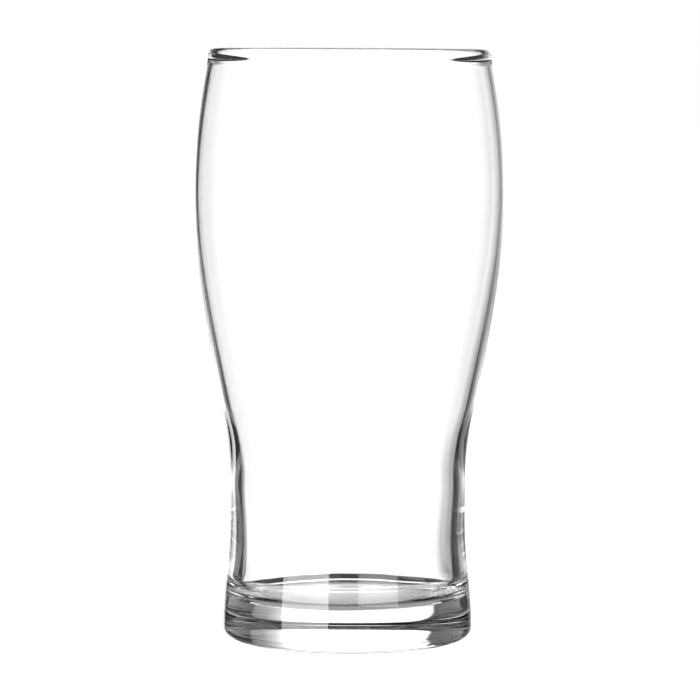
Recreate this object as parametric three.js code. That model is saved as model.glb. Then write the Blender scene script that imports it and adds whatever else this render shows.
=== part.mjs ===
// Tulip pint glass, one piece of soda-lime glass: a blown bowl that runs without a joint into a thick foot.
// Millimetres, +Z up. The origin is the centre of the plane that the glass rests on.
import * as THREE from 'three';

// Outside of the glass, from the foot up
const glassHeight = 160;
const footRadius = 33.95;
const footCornerRadius = 3; // rounded lower edge of the foot
const ankleHeight = 16.5; // where the foot turns into the bowl
const ankleRadius = 33.1;
const ankleSlope = -0.125; // change of radius for each millimetre up
const waistHeight = 42.8; // narrowest place, held by the hand
const waistRadius = 32;
const shoulderHeight = 64; // steepest place below the belly
const shoulderRadius = 34.5;
const shoulderSlope = 0.22;
const bellyHeight = 120.4; // widest place
const bellyRadius = 42.1;
const mouthRadius = 38.5; // outside of the bead at the mouth
const mouthSlope = -0.213; // of the wall just below the bead

// Thickness of the wall, square to the outside
const footWall = 4.6;
const ankleWall = 4.1;
const waistWall = 3.1;
const shoulderWall = 2.1;
const bellyWall = 1.2;
const mouthWall = 1.6;
const lipRadius = 1.35; // half the thickness of the round bead at the mouth
const lipBlend = 2.8; // height over which the bead thins to the wall

// Floor of the bowl and underside of the foot
const floorHeight = 10.4; // where the floor meets the heel
const heelWidth = 5; // the heel is a quarter ellipse between the floor and the wall
const heelRise = 6;
const floorDish = 0.6; // how much lower the floor is at its centre
const bearingWidth = 3; // flat ring that touches the table
const pushUpHeight = 2; // hollow under the foot, at its centre

// Fineness of the faceted solid
const segmentsAround = 48;
const rowsPerSpan = 4;
const rowsPerArc = 5;
const rowsPerFloor = 3;
const settlingSteps = 8; // rounds that find the top of the heel
const taperStep = 0.1; // millimetres either side, for the taper of the inside

const lipBulge = (-mouthSlope * lipBlend) / 2; // brings the outside upright where the bead starts

const stations = [
  { height: footCornerRadius, radius: footRadius, slope: 0, wall: footWall },
  { height: ankleHeight, radius: ankleRadius, slope: ankleSlope, wall: ankleWall },
  { height: waistHeight, radius: waistRadius, slope: 0, wall: waistWall },
  { height: shoulderHeight, radius: shoulderRadius, slope: shoulderSlope, wall: shoulderWall },
  { height: bellyHeight, radius: bellyRadius, slope: 0, wall: bellyWall },
  {
    height: glassHeight - lipRadius,
    radius: mouthRadius - lipBulge,
    slope: mouthSlope,
    wall: mouthWall,
  },
];

// How far a height has come through the blend below the bead, from 0 to 1 at the bead.
function nearLip(height) {
  return Math.max(0, 1 - (glassHeight - lipRadius - height) / lipBlend);
}

// Radius, slope and wall at a height: a cubic between stations that keeps the slope at both of them,
// and the bulge and swelling of the bead over the last few millimetres.
function outsideAt(height) {
  const last = stations.length - 2;
  const found = stations.findIndex((station, i) => i <= last && height <= stations[i + 1].height);
  const index = found < 0 ? last : found;
  const low = stations[index];
  const high = stations[index + 1];
  const span = high.height - low.height;
  const t = (height - low.height) / span;
  const rise = high.radius - low.radius;
  const bend = t * (1 - t);
  const ease = t * t * (3 - 2 * t);
  const lift = (1 - t) * low.slope - t * high.slope;
  const near = nearLip(height);
  const radius = low.radius + ease * rise + bend * span * lift;
  const slope = (6 * bend * rise) / span + (1 - 2 * t) * lift - bend * (low.slope + high.slope);
  const wall = low.wall + ease * (high.wall - low.wall);
  return {
    radius: radius + lipBulge * near * near,
    slope: slope + (2 * lipBulge * near) / lipBlend,
    wall: wall + (2 * lipRadius - mouthWall) * near * near * (3 - 2 * near),
  };
}

// The point of the inside surface that lies one wall thickness in from the outside at a height.
function insideAt(height) {
  const { radius, slope, wall } = outsideAt(height);
  const reach = wall / Math.hypot(1, slope);
  return new THREE.Vector2(radius - reach, height + reach * slope);
}

// Points along an arc, both ends included, for angles in radians from the outward direction.
function arc(centre, radius, from, to, steps) {
  return Array.from({ length: steps + 1 }, (_, i) => {
    const angle = from + ((to - from) * i) / steps;
    return new THREE.Vector2(centre.x + radius * Math.cos(angle), centre.y + radius * Math.sin(angle));
  });
}

// Heights from one level to another, both ends included.
function levels(from, to, steps) {
  return Array.from({ length: steps + 1 }, (_, i) => from + ((to - from) * i) / steps);
}

const quarter = Math.PI / 2;

function underside() {
  const bearingOuter = footRadius - footCornerRadius;
  const bearingInner = bearingOuter - bearingWidth;
  return levels(0, bearingInner, rowsPerFloor + 1).map((radius) => {
    const share = radius / bearingInner;
    return new THREE.Vector2(radius, pushUpHeight * (1 - share * share));
  });
}

function outside() {
  const corner = new THREE.Vector2(footRadius - footCornerRadius, footCornerRadius);
  const heights = stations.slice(1).flatMap((station, i) => {
    return levels(stations[i].height, station.height, rowsPerSpan).slice(1);
  });
  return [
    ...arc(corner, footCornerRadius, -quarter, 0, rowsPerArc),
    ...heights.map((height) => new THREE.Vector2(outsideAt(height).radius, height)),
  ];
}

function lip() {
  const centre = new THREE.Vector2(mouthRadius - lipRadius, glassHeight - lipRadius);
  return arc(centre, lipRadius, 0, 2 * quarter, 2 * rowsPerArc).slice(1, -1);
}

// The height on the outside whose inside point stands at a given height.
function standingAt(insideHeight) {
  let height = insideHeight;
  for (let i = 0; i < settlingSteps; i += 1) {
    height += insideHeight - insideAt(height).y;
  }
  return height;
}

// How much the inside radius shrinks for each millimetre up, at a height on the outside.
function insideTaper(height) {
  const below = insideAt(height - taperStep);
  const above = insideAt(height + taperStep);
  return (below.x - above.x) / (above.y - below.y);
}

function inside() {
  const taper = insideTaper(floorHeight + heelRise);
  const start = Math.atan((heelRise / heelWidth) * taper); // where the ellipse runs into the wall
  const heelTop = standingAt(floorHeight + heelRise * (1 + Math.sin(start)));
  const floorEdge = insideAt(heelTop).x - heelWidth * Math.cos(start);
  const heel = arc(new THREE.Vector2(0, 1), 1, start, -quarter, rowsPerArc).slice(1);
  const edge = glassHeight - lipRadius;
  const bounds = [edge, edge - lipBlend, bellyHeight, shoulderHeight, waistHeight, heelTop];
  const heights = bounds.slice(1).flatMap((low, i) => levels(bounds[i], low, rowsPerSpan).slice(1));
  const floor = levels(floorEdge, 0, rowsPerFloor).slice(1).map((radius) => {
    const share = radius / floorEdge;
    return new THREE.Vector2(radius, floorHeight - floorDish * (1 - share * share));
  });
  return [
    insideAt(edge),
    ...heights.map(insideAt),
    ...heel.map((at) => new THREE.Vector2(floorEdge + heelWidth * at.x, floorHeight + heelRise * at.y)),
    ...floor,
  ];
}

function glassBody() {
  const profile = [...underside(), ...outside(), ...lip(), ...inside()];
  const geometry = new THREE.LatheGeometry(profile, segmentsAround);
  geometry.rotateX(quarter); // the lathe turns about Y, the glass stands along Z
  const clearGlass = new THREE.MeshStandardMaterial({
    color: 0xf4f8f7,
    roughness: 0.02,
    metalness: 0,
    transparent: true,
    opacity: 0.35,
  });
  const body = new THREE.Mesh(geometry, clearGlass);
  body.name = 'glass_body';
  return body;
}

const pintGlass = new THREE.Group();
pintGlass.name = 'pint_glass';
pintGlass.add(glassBody());

export default pintGlass;
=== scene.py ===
import math

import bmesh
import bpy
from mathutils import Matrix, Vector, noise


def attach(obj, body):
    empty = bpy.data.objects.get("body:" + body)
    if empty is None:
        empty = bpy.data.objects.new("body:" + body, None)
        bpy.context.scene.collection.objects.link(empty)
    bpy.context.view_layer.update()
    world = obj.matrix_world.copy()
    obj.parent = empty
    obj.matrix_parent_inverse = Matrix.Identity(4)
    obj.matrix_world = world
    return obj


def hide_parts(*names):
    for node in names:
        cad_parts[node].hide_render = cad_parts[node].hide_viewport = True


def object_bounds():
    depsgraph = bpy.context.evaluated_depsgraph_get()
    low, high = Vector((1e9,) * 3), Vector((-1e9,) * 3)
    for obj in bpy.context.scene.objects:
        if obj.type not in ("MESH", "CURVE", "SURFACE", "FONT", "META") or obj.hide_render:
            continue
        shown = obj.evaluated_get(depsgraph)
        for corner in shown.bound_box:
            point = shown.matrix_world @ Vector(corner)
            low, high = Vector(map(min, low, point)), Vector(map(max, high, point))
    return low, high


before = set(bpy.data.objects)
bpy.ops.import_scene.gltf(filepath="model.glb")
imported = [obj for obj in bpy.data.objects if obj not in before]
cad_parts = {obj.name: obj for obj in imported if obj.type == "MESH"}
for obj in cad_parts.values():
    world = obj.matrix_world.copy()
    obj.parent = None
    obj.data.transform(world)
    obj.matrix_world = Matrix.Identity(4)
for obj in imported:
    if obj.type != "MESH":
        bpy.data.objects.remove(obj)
cadLow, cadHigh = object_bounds()
mm = 0.001
quarterTurn = math.pi / 2
print("frame loaded")

# The pint is one skin of glass turned about Z. Lengths are in millimetres.
pint = {
    "height": cadHigh[2] / mm,
    "footRadius": 33.95,
    "footCorner": 3.0,  # rounding of the lower edge
    "stations": [  # height, outside radius, slope, wall square to the outside
        (3.0, 33.95, 0.0, 4.6),
        (16.5, 33.1, -0.125, 4.1),
        (42.8, 32.0, 0.0, 3.1),
        (64.0, 34.5, 0.22, 2.1),
        (120.4, cadHigh[0] / mm, 0.0, 1.2),
    ],
    "mouthRadius": 38.5,
    "mouthSlope": -0.213,
    "mouthWall": 1.6,
    "lipRadius": 1.35,
    "lipBlend": 2.8,  # height over which the bead thins to the wall
    "floorHeight": 10.4,
    "heelWidth": 5.0,  # a quarter ellipse joins floor and wall
    "heelRise": 6.0,
    "floorDish": 0.6,
    "bearingWidth": 3.0,
    "pushUp": 2.0,
    "floorTilt": 0.6,  # degrees, because the plunger never stands quite square
    "tiltFade": (18.0, 34.0),  # heights between which the tilt dies out
    "ripple": 0.035,  # chill ripple on the inside of the foot
    "rippleSize": 9.0,
    "rippleSquash": 0.6,
    "rippleReach": 30.0,  # radius at which the wall moves as much as the floor
    "rippleFade": (20.0, 46.0),
    "segmentsAround": 288,
    "rowStep": 1.4,
    "lipRowStep": 0.25,
    "floorRowStep": 1.5,
    "arcSteps": 24,
    "taperStep": 0.1,
    "settlingSteps": 8,
    "onAxis": 0.000001,  # a ring smaller than this is a single point
}
lipBulge = -pint["mouthSlope"] * pint["lipBlend"] / 2  # brings the outside upright at the bead
lipSwelling = 2 * pint["lipRadius"] - pint["mouthWall"]
lipEdge = pint["height"] - pint["lipRadius"]
mouthStation = (lipEdge, pint["mouthRadius"] - lipBulge, pint["mouthSlope"], pint["mouthWall"])
stations = pint["stations"] + [mouthStation]


# Radius, slope and wall at a height: a cubic between stations, and the swelling towards the bead
def outsideAt(height):
    index = 0
    while index < len(stations) - 2 and height > stations[index + 1][0]:
        index += 1
    lowHeight, lowRadius, lowSlope, lowWall = stations[index]
    highHeight, highRadius, highSlope, highWall = stations[index + 1]
    span = highHeight - lowHeight
    t = (height - lowHeight) / span
    rise = highRadius - lowRadius
    bend = t * (1 - t)
    ease = t * t * (3 - 2 * t)
    lift = (1 - t) * lowSlope - t * highSlope
    near = max(0.0, 1 - (lipEdge - height) / pint["lipBlend"])
    radius = lowRadius + ease * rise + bend * span * lift + lipBulge * near**2
    slope = 6 * bend * rise / span + (1 - 2 * t) * lift - bend * (lowSlope + highSlope)
    slope += 2 * lipBulge * near / pint["lipBlend"]
    wall = lowWall + ease * (highWall - lowWall) + lipSwelling * near * near * (3 - 2 * near)
    return radius, slope, wall


def insideAt(height):  # one wall square in from the outside
    radius, slope, wall = outsideAt(height)
    reach = wall / math.hypot(1, slope)
    return radius - reach, height + reach * slope


def insideTaper(height):
    below = insideAt(height - pint["taperStep"])
    above = insideAt(height + pint["taperStep"])
    return (below[0] - above[0]) / (above[1] - below[1])


def standingAt(insideHeight):  # the outside height whose inside point stands at insideHeight
    height = insideHeight
    for _ in range(pint["settlingSteps"]):
        height += insideHeight - insideAt(height)[1]
    return height


def levels(start, end, step):
    count = max(1, math.ceil(abs(end - start) / step))
    return [start + (end - start) * i / count for i in range(count + 1)]


def wallLevels(bottom):  # from the bead down, closer together where it blends into the wall
    blendEnd = lipEdge - pint["lipBlend"]
    return levels(lipEdge, blendEnd, pint["lipRowStep"]) + levels(blendEnd, bottom, pint["rowStep"])[1:]


def arc(centreX, centreZ, radius, start, end, count):
    angles = [start + (end - start) * i / count for i in range(count + 1)]
    return [(centreX + radius * math.cos(a), centreZ + radius * math.sin(a)) for a in angles]


def dome(edge, edgeHeight, rise, radii):  # a shallow push-up or dish that meets edgeHeight at its edge
    return [(r, edgeHeight + rise * (1 - (r / edge) ** 2)) for r in radii]


def outsideProfile():
    corner = pint["footCorner"]
    bearingOuter = pint["footRadius"] - corner
    bearingInner = bearingOuter - pint["bearingWidth"]
    points = dome(bearingInner, 0, pint["pushUp"], levels(0, bearingInner, pint["floorRowStep"]))
    points += arc(bearingOuter, corner, corner, -quarterTurn, 0, pint["arcSteps"])
    points += [(outsideAt(h)[0], h) for h in wallLevels(corner)[::-1]][1:]
    lip = pint["lipRadius"]
    return points + arc(pint["mouthRadius"] - lip, lipEdge, lip, 0, 2 * quarterTurn, pint["arcSteps"])[1:-1]


def insideProfile():
    floor, width, rise = pint["floorHeight"], pint["heelWidth"], pint["heelRise"]
    start = math.atan(rise / width * insideTaper(floor + rise))
    heelTop = standingAt(floor + rise * (1 + math.sin(start)))
    floorEdge = insideAt(heelTop)[0] - width * math.cos(start)
    points = [insideAt(h) for h in wallLevels(heelTop)]
    heel = arc(0, 1, 1, start, -quarterTurn, pint["arcSteps"])[1:]
    points += [(floorEdge + width * x, floor + rise * z) for x, z in heel]
    return points + dome(floorEdge, floor, -pint["floorDish"], levels(floorEdge, 0, pint["floorRowStep"])[1:])


def fadeOut(height, limits):
    low, high = limits
    t = min(1.0, max(0.0, (height - low) / (high - low)))
    return 1 - t * t * (3 - 2 * t)


def pressed(x, y, height):  # tilts the floor and ripples the inside of the foot
    z = height + x * math.tan(math.radians(pint["floorTilt"])) * fadeOut(height, pint["tiltFade"])
    swing = noise.noise(Vector((x, y, z * pint["rippleSquash"])) / pint["rippleSize"])
    swing *= pint["ripple"] * fadeOut(height, pint["rippleFade"])
    spread = 1 + swing / pint["rippleReach"]
    return x * spread, y * spread, z + swing


def turnedRing(work, radius, height, isInside):
    around = pint["segmentsAround"] if radius > pint["onAxis"] else 1
    ring = []
    for i in range(around):
        angle = 2 * math.pi * i / around
        place = (radius * math.cos(angle), radius * math.sin(angle), height)
        place = pressed(*place) if isInside else place
        ring.append(work.verts.new([side * mm for side in place]))
    return ring


def joinRings(work, lower, upper):
    around = max(len(lower), len(upper))
    for i in range(around):
        j = (i + 1) % around
        if len(lower) == 1:
            work.faces.new((lower[0], upper[j], upper[i]))
        elif len(upper) == 1:
            work.faces.new((lower[i], lower[j], upper[0]))
        else:
            work.faces.new((lower[i], lower[j], upper[j], upper[i]))


def linkNew(name, data):
    made = bpy.data.objects.new(name, data)
    bpy.context.collection.objects.link(made)
    return made


def turnPint(name):
    work = bmesh.new()
    rings = [turnedRing(work, radius, height, False) for radius, height in outsideProfile()]
    rings += [turnedRing(work, radius, height, True) for radius, height in insideProfile()]
    for lower, upper in zip(rings, rings[1:]):
        joinRings(work, lower, upper)
    bmesh.ops.recalc_face_normals(work, faces=work.faces)
    for face in work.faces:
        face.smooth = True
    mesh = bpy.data.meshes.new(name)
    work.to_mesh(mesh)
    work.free()
    return linkNew(name, mesh)


def newMaterial(name):
    material = bpy.data.materials.new(name)
    material.use_nodes = True
    return material, material.node_tree


def addNode(tree, kind, **settings):
    made = tree.nodes.new(kind)
    for key, value in settings.items():
        setattr(made, key, value)
    return made


# Spreads a value from one range over another, and holds it at the ends
def remap(tree, source, fromLow, fromHigh, toLow=0.0, toHigh=1.0):
    made = addNode(tree, "ShaderNodeMapRange")
    ends = {"From Min": fromLow, "From Max": fromHigh, "To Min": toLow, "To Max": toHigh}
    for key, value in ends.items():
        made.inputs[key].default_value = value
    tree.links.new(source, made.inputs["Value"])
    return made.outputs["Result"]


def combine(tree, operation, *values, **settings):
    made = addNode(tree, "ShaderNodeMath", operation=operation, **settings)
    for socket, value in zip(made.inputs, values):
        if isinstance(value, float):
            socket.default_value = value
        else:
            tree.links.new(value, socket)
    return made.outputs[0]


# Clear soda-lime glass: a faint green where it is thick, haze from handling, and scratches on the
# ring that it stands on. Lengths are in metres, scales in features to the metre.
glassFinish = {
    "ior": 1.52,
    "thinTint": (0.996, 1.0, 0.998, 1),
    "thickTint": (0.972, 0.986, 0.980, 1),
    "tintClimb": (0.006, 0.024),
    "cloud": {"scale": 45.0, "detail": 3.0, "low": 0.3, "high": 0.7, "depth": 0.15},
    "haze": {"scale": 120.0, "detail": 5.0, "low": 0.45, "high": 0.75, "most": 0.012},
    "scratch": {"scale": 900.0, "detail": 6.0, "low": 0.35, "high": 0.65, "depth": 0.00001},
    "wave": {"scale": 70.0, "detail": 2.0, "depth": 0.000006},
    "scuffClimb": (0.0001, 0.0004),
    "scuffRoughness": (0.1, 0.4),
}


def makeClearGlass():
    finish = glassFinish
    material, tree = newMaterial("clearGlass")
    shader = tree.nodes["Principled BSDF"]
    shader.inputs["Transmission Weight"].default_value = 1.0
    shader.inputs["IOR"].default_value = finish["ior"]
    place = addNode(tree, "ShaderNodeTexCoord")
    split = addNode(tree, "ShaderNodeSeparateXYZ")
    tree.links.new(place.outputs["Object"], split.inputs[0])
    height = split.outputs["Z"]

    def speckle(kind):
        made = addNode(tree, "ShaderNodeTexNoise")
        made.inputs["Scale"].default_value = finish[kind]["scale"]
        made.inputs["Detail"].default_value = finish[kind]["detail"]
        tree.links.new(place.outputs["Object"], made.inputs["Vector"])
        return made.outputs["Fac"]

    cloud = finish["cloud"]
    clouds = remap(tree, speckle("cloud"), cloud["low"], cloud["high"], -cloud["depth"], cloud["depth"])
    climb = remap(tree, height, *finish["tintClimb"])
    tint = addNode(tree, "ShaderNodeMix", data_type="RGBA")
    tint.inputs["A"].default_value = finish["thickTint"]
    tint.inputs["B"].default_value = finish["thinTint"]
    tree.links.new(combine(tree, "ADD", climb, clouds, use_clamp=True), tint.inputs["Factor"])
    tree.links.new(tint.outputs["Result"], shader.inputs["Base Color"])

    haze, scratch, wave = finish["haze"], finish["scratch"], finish["wave"]
    hazes = remap(tree, speckle("haze"), haze["low"], haze["high"], 0.0, haze["most"])
    scuffed = remap(tree, height, *finish["scuffClimb"], 1.0, 0.0)
    scratches = speckle("scratch")
    rough = remap(tree, scratches, scratch["low"], scratch["high"], *finish["scuffRoughness"])
    scuffs = combine(tree, "MULTIPLY", scuffed, rough)
    tree.links.new(combine(tree, "MAXIMUM", hazes, scuffs), shader.inputs["Roughness"])

    waves = combine(tree, "MULTIPLY", speckle("wave"), wave["depth"])
    dents = combine(tree, "MULTIPLY", combine(tree, "MULTIPLY", scratches, scuffed), scratch["depth"])
    bump = addNode(tree, "ShaderNodeBump")
    bump.inputs["Distance"].default_value = 1.0
    tree.links.new(combine(tree, "ADD", waves, dents), bump.inputs["Height"])
    tree.links.new(bump.outputs["Normal"], shader.inputs["Normal"])
    return material


pintGlass = turnPint("pintGlass")
pintGlass.data.materials.append(makeClearGlass())
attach(pintGlass, "root")
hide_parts("glass_body")
print("pint glass turned:", len(pintGlass.data.polygons), "faces")

# The camera stands just above the mouth and looks down a little. Metres and degrees, lens in mm.
view = {
    "distance": 1.06,
    "height": 0.1615,
    "aside": 0.00046,
    "pitch": 4.49,
    "roll": 0.27,
    "focal": 201.394286,
    "sensor": 36.0,
    "farthest": 30.0,
}


def placeCamera():
    lens = bpy.data.cameras.new("camera")
    lens.sensor_width = view["sensor"]
    lens.lens = view["focal"]
    lens.clip_end = view["farthest"]
    made = linkNew("camera", lens)
    pitched = Matrix.Rotation(math.radians(90 - view["pitch"]), 4, "X")
    rolled = Matrix.Rotation(math.radians(view["roll"]), 4, "Z")
    stood = Matrix.Translation((view["aside"], -view["distance"], view["height"]))
    made.matrix_world = stood @ pitched @ rolled
    bpy.context.scene.camera = made
    return made


cameraObject = placeCamera()
print("camera placed")

# A white floor and a white ground, and a lamp rig that is clamped to the camera stand as for a
# turntable, so that the glass is lit alike from every side. Metres where no other unit is given.
studio = {
    "floorHalf": 6.0,
    "floorDrop": 0.0002,
    "floorTone": (0.8, 0.8, 0.8, 1),
    "shadeRadius": 31.0,  # mm, the dark under the foot
    "shadeDrop": 0.0001,
    "shadeTone": (0.05, 0.05, 0.05, 1),
    "shadeSides": 96,
    "shadeStops": [(0, 0.35), (27, 0.35), (29, 0.18), (31, 0.08)],  # radius in mm, level
    "subject": 1.05,  # from the camera to the glass
    "panelBehind": 0.35,
    "panelHalf": 0.9,
    "panelLevel": 1.45,
    "panelLean": 0.15,  # its upright edges lean to the right by this share of the height
    "acrossStops": [  # mm to the right of the camera's line, level
        (-700, 0.03),
        (-172, 0.03),
        (-160, 1.0),
        (49, 1.0),
        (100, 0.92),
        (130, 0.5),
        (165, 0.26),
        (226, 0.16),
        (238, 0.03),
        (800, 0.03),
    ],
    "upStops": [  # mm above the camera's line, level
        (-800, 0.03),
        (-360, 0.03),
        (-340, 1.0),
        (-307, 1.0),
        (-297, 0.03),
        (-221, 0.03),
        (-213, 1.0),
        (374, 1.0),
        (616, 0.1),
        (869, 0.02),
    ],
    "lampAway": 1.1,
    "lamps": [  # name, degrees to the right, height over the camera's line, width and height, watts
        ("leftBox", -40.0, 0.1, (0.92, 1.6), 36.0),
        ("rightBox", 29.3, 0.388, (0.76, 1.0), 9.0),
    ],
    "ambient": (0.12, 0.12, 0.12, 1),
    "ground": (1, 1, 1, 1),
    "bounces": 24,
    "glossyBounces": 16,
    "transparentBounces": 16,
    "clamp": 2.0,
}


def stagePlane(name, corners, material):
    mesh = bpy.data.meshes.new(name)
    mesh.from_pydata(corners, [], [tuple(range(len(corners)))])
    mesh.materials.append(material)
    made = linkNew(name, mesh)
    return made


def squareCorners(half):
    return [(-half, -half, 0), (half, -half, 0), (half, half, 0), (-half, half, 0)]


def greyRamp(tree, share, stops):
    ramp = addNode(tree, "ShaderNodeValToRGB")
    elements = ramp.color_ramp.elements
    while len(elements) < len(stops):
        elements.new(0.5)
    for element, (position, level) in zip(elements, stops):
        element.position = min(1.0, max(0.0, position))
        element.color = (level, level, level, 1)
    tree.links.new(share, ramp.inputs["Fac"])
    return ramp.outputs["Color"]


def layFloor():
    material, tree = newMaterial("paleFloor")
    surface = tree.nodes["Principled BSDF"]
    surface.inputs["Base Color"].default_value = studio["floorTone"]
    surface.inputs["Emission Color"].default_value = studio["ground"]
    surface.inputs["Emission Strength"].default_value = 1.0
    floor = stagePlane("studioFloor", squareCorners(studio["floorHalf"]), material)
    floor.location.z = -studio["floorDrop"]
    floor.visible_transmission = False
    floor.visible_glossy = False


def layContactShade():
    radius = studio["shadeRadius"]
    material, tree = newMaterial("contactShade")
    surface = tree.nodes["Principled BSDF"]
    surface.inputs["Base Color"].default_value = studio["shadeTone"]
    surface.inputs["Roughness"].default_value = 1.0
    surface.inputs["Emission Strength"].default_value = 1.0
    place = addNode(tree, "ShaderNodeTexCoord")
    reach = addNode(tree, "ShaderNodeVectorMath", operation="LENGTH")
    tree.links.new(place.outputs["Object"], reach.inputs[0])
    share = remap(tree, reach.outputs["Value"], 0.0, radius * mm)
    stops = [(at / radius, level) for at, level in studio["shadeStops"]]
    tree.links.new(greyRamp(tree, share, stops), surface.inputs["Emission Color"])
    rim = arc(0, 0, radius * mm, 0, 4 * quarterTurn, studio["shadeSides"])[:-1]
    patch = stagePlane("contactShade", [(x, y, 0) for x, y in rim], material)
    patch.location.z = -studio["shadeDrop"]


def hangBackPanel():
    half = studio["panelHalf"]
    material, tree = newMaterial("panelGlow")
    tree.nodes.clear()
    place = addNode(tree, "ShaderNodeTexCoord")
    split = addNode(tree, "ShaderNodeSeparateXYZ")
    tree.links.new(place.outputs["Object"], split.inputs[0])
    up = split.outputs["Y"]
    across = combine(tree, "MULTIPLY_ADD", up, -studio["panelLean"], split.outputs["X"])
    product = addNode(tree, "ShaderNodeVectorMath", operation="MULTIPLY")
    for socket, side, stops in zip(product.inputs, (across, up), (studio["acrossStops"], studio["upStops"])):
        spots = [(0.5 + at * mm / (2 * half), level) for at, level in stops]
        tree.links.new(greyRamp(tree, remap(tree, side, -half, half), spots), socket)
    emission = addNode(tree, "ShaderNodeEmission")
    emission.inputs["Strength"].default_value = studio["panelLevel"]
    tree.links.new(product.outputs[0], emission.inputs["Color"])
    output = addNode(tree, "ShaderNodeOutputMaterial")
    tree.links.new(emission.outputs[0], output.inputs["Surface"])
    panel = stagePlane("backPanel", squareCorners(half), material)
    panel.parent = cameraObject
    panel.location.z = -(studio["subject"] + studio["panelBehind"])
    panel.visible_camera = False
    panel.visible_diffuse = False


def hangLamp(name, turn, up, size, power):
    lamp = bpy.data.lights.new(name, "AREA")
    lamp.shape = "RECTANGLE"
    lamp.size, lamp.size_y = size
    lamp.energy = power
    made = linkNew(name, lamp)
    made.parent = cameraObject
    turned = Matrix.Rotation(math.radians(turn), 4, "Y") @ Matrix.Translation((0, up, studio["lampAway"]))
    made.matrix_local = Matrix.Translation((0, 0, -studio["subject"])) @ turned
    made.visible_camera = False


def paintWorld():
    world = bpy.data.worlds.new("studioWorld")
    bpy.context.scene.world = world
    world.use_nodes = True
    tree = world.node_tree
    tree.nodes.clear()
    mix = addNode(tree, "ShaderNodeMixShader")
    path = addNode(tree, "ShaderNodeLightPath")
    tree.links.new(path.outputs["Is Camera Ray"], mix.inputs[0])
    for socket, tone in zip(mix.inputs[1:], (studio["ambient"], studio["ground"])):
        background = addNode(tree, "ShaderNodeBackground")
        background.inputs["Color"].default_value = tone
        tree.links.new(background.outputs[0], socket)
    output = addNode(tree, "ShaderNodeOutputWorld")
    tree.links.new(mix.outputs[0], output.inputs[0])


def setLightPaths():
    scene = bpy.context.scene
    scene.view_settings.view_transform = "Standard"
    scene.cycles.sample_clamp_indirect = studio["clamp"]
    scene.cycles.max_bounces = studio["bounces"]
    scene.cycles.transmission_bounces = studio["bounces"]
    scene.cycles.glossy_bounces = studio["glossyBounces"]
    scene.cycles.transparent_max_bounces = studio["transparentBounces"]


layFloor()
layContactShade()
hangBackPanel()
for lampSetting in studio["lamps"]:
    hangLamp(*lampSetting)
paintWorld()
setLightPaths()
print("studio lit")
